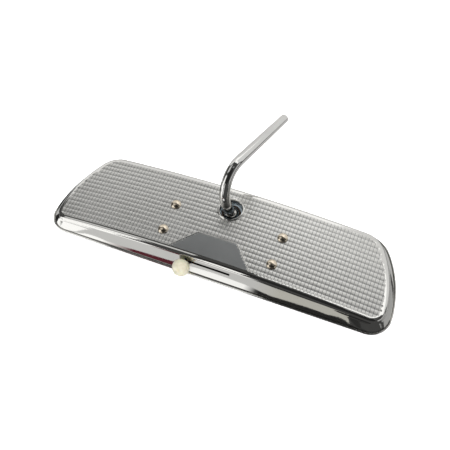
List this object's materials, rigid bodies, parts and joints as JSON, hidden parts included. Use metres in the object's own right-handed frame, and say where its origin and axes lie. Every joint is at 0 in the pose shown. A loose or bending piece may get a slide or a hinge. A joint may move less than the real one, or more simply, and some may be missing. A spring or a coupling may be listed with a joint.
{
  "type": "interior rearview mirror",
  "caption": "Chromed day and night rearview mirror: embossed back shell, front bezel, tilting prism glass, sliding knob and a bent rod arm on a ball joint.",
  "frame": {"origin": "on the plane of the front bezel's rim, under the middle of the whole mirror's footprint from the knob to the arm's tip", "axes": "+X along the head, +Y towards the mirror's top edge (away from the knob), +Z out of the embossed back"},
  "size_m": [0.2526, 0.1384, 0.0524],
  "materials": {
    "chromed_sheet": "chrome plated pressed steel, finely embossed on the back face and polished on the walls",
    "chromed_rod": "polished chrome plated steel rod",
    "plain_steel": "plain pressed steel, thinly zinc plated",
    "zinc": "blue-grey die-cast zinc",
    "spring_steel": "dark oil-blackened spring steel",
    "rivet_metal": "nickel plated brass, warm and bright",
    "ivory_plastic": "ivory moulded plastic, satin, slightly mottled",
    "silvered_glass": "silvered prism glass",
    "card": "grey-brown backing card",
    "fibre": "brown vulcanised fibre"
  },
  "bodies": {
    "head": {"back_shell": "chromed_sheet", "front_bezel": "chromed_sheet", "ball_bracket": "plain_steel", "socket_collar": "zinc", "spring_washer": "spring_steel", "rivet_1": "rivet_metal", "rivet_2": "rivet_metal", "rivet_3": "rivet_metal", "rivet_4": "rivet_metal", "slide_guide_1": "plain_steel", "slide_guide_2": "plain_steel", "hinge_lug_left": "plain_steel", "hinge_lug_right": "plain_steel"},
    "slider": {"slide_bar": "plain_steel", "knob_shank": "plain_steel", "knob": "ivory_plastic"},
    "glass_carrier": {"mirror_glass": "silvered_glass", "backing_card": "card", "glass_tray": "plain_steel", "follower_pin_1": "plain_steel", "follower_pin_2": "plain_steel", "pivot_pin_left": "plain_steel", "pivot_pin_right": "plain_steel"},
    "ring": {"friction_ring": "zinc"},
    "liner": {"ball_liner": "fibre"},
    "arm": {"swivel_ball": "chromed_rod", "arm_rod": "chromed_rod"}
  },
  "joints": [
    {"name": "knob_slide", "type": "slide", "parent": "head", "child": "slider", "axis": [1, 0, 0], "range_m": [0, 0.032]},
    {"name": "glass_tilt", "type": "hinge", "parent": "head", "child": "glass_carrier", "pos_m": [0, 0.00387, 0.01], "axis": [-1, 0, 0], "range_deg": [0, 3]},
    {"name": "ball_tilt_x", "type": "hinge", "parent": "head", "child": "ring", "pos_m": [0, -0.01113, 0.0135], "axis": [1, 0, 0], "range_deg": [-20, 10]},
    {"name": "ball_tilt_y", "type": "hinge", "parent": "ring", "child": "liner", "pos_m": [0, -0.01113, 0.0135], "axis": [0, 1, 0], "range_deg": [-4, 26]},
    {"name": "arm_spin", "type": "hinge", "parent": "liner", "child": "arm", "pos_m": [0, -0.01113, 0.0135], "axis": [-0.1901, -0.0872, 0.9779], "range_deg": [-40, 60]}
  ],
  "couplings": [
    {"joint": "glass_tilt", "follows": "knob_slide", "rad_per_m": 1.6362}
  ]
}
